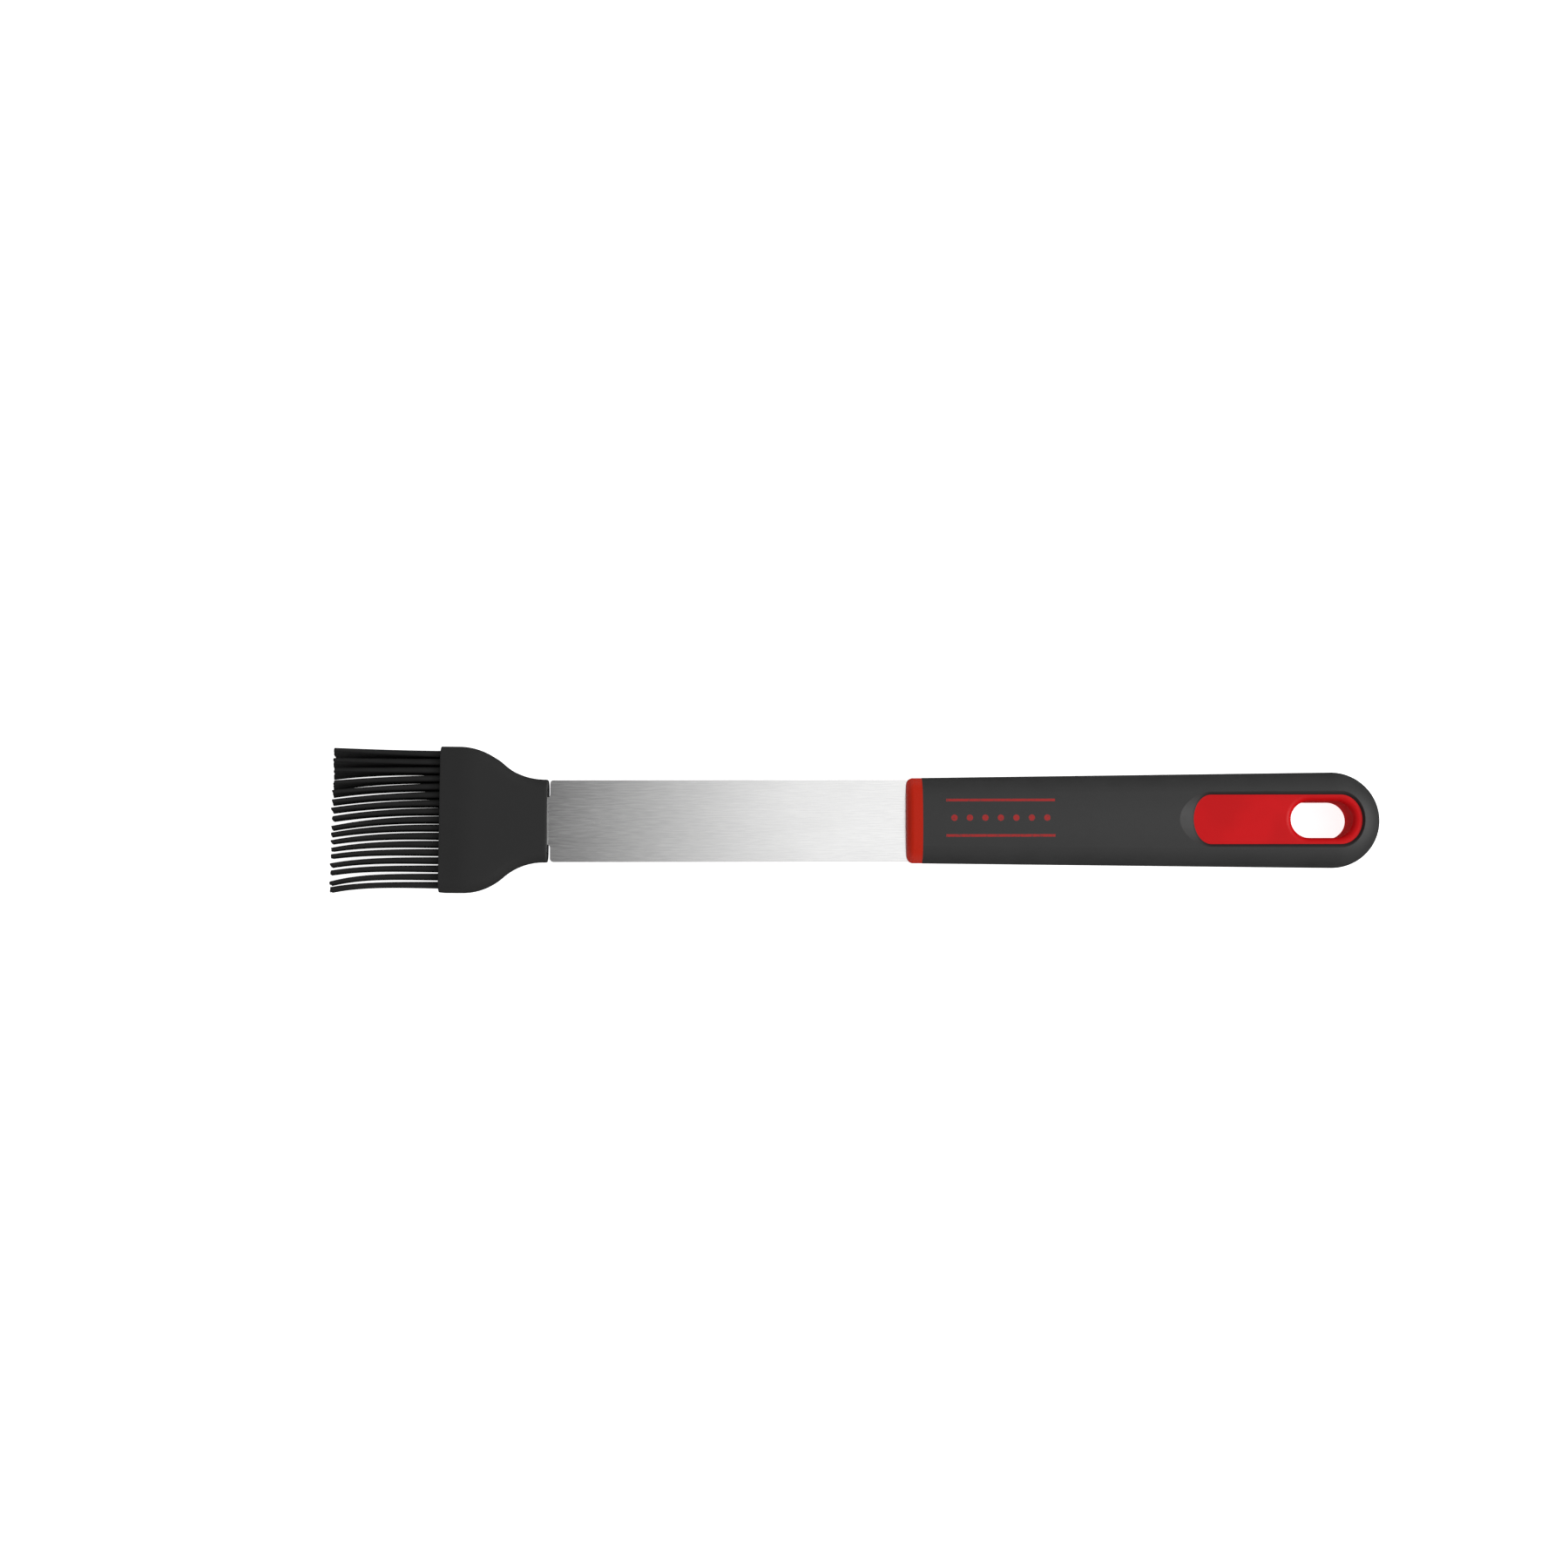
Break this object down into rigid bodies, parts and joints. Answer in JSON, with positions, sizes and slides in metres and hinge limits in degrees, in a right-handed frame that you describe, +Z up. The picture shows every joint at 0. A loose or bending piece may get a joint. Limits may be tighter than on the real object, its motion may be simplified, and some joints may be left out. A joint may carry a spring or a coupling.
{
  "type": "silicone basting brush",
  "caption": "Long-handled basting brush with a flat head of soft silicone bristles that pulls off a steel blade, and a soft oval grip with a hanging hole.",
  "frame": {"origin": "middle of the brush's length and width, at the height of what it lies on", "axes": "+X from the bristle tips to the hanging hole, +Y across the brush, +Z up through its flat faces"},
  "size_m": [0.3688, 0.0512, 0.019],
  "materials": {
    "stainless": "brushed along its length",
    "red_plastic": "satin",
    "soft_grip": "matt soft touch",
    "silicone": "matt silicone",
    "liner_plastic": "moulded nylon"
  },
  "bodies": {
    "handle": {"steel_shaft": "stainless", "handle_core": "red_plastic", "grip_overmould": "soft_grip"},
    "head": {"brush_boot": "silicone", "socket_liner": "liner_plastic", "bristle_web": "silicone"},
    "bristle_row_1": {"bristle_row_1": "silicone"},
    "bristle_row_2": {"bristle_row_2": "silicone"},
    "bristle_row_3": {"bristle_row_3": "silicone"},
    "bristle_row_4": {"bristle_row_4": "silicone"}
  },
  "joints": [
    {"name": "head_slide", "type": "slide", "parent": "handle", "child": "head", "axis": [-1, 0, 0], "range_m": [0, 0.045]},
    {"name": "bristle_bend_1", "type": "hinge", "parent": "head", "child": "bristle_row_1", "pos_m": [-0.1458, 0, 0.0035], "axis": [0, 1, 0], "range_deg": [-40, 40], "stiffness_Nm_per_rad": 0.003},
    {"name": "bristle_bend_2", "type": "hinge", "parent": "head", "child": "bristle_row_2", "pos_m": [-0.1458, 0, 0.0075], "axis": [0, 1, 0], "range_deg": [-40, 40], "stiffness_Nm_per_rad": 0.003},
    {"name": "bristle_bend_3", "type": "hinge", "parent": "head", "child": "bristle_row_3", "pos_m": [-0.1458, 0, 0.0115], "axis": [0, 1, 0], "range_deg": [-40, 40], "stiffness_Nm_per_rad": 0.003},
    {"name": "bristle_bend_4", "type": "hinge", "parent": "head", "child": "bristle_row_4", "pos_m": [-0.1458, 0, 0.0155], "axis": [0, 1, 0], "range_deg": [-40, 40], "stiffness_Nm_per_rad": 0.003}
  ],
  "couplings": [
    {"joint": "bristle_bend_2", "follows": "bristle_bend_1", "ratio": 1},
    {"joint": "bristle_bend_3", "follows": "bristle_bend_1", "ratio": 1},
    {"joint": "bristle_bend_4", "follows": "bristle_bend_1", "ratio": 1}
  ]
}
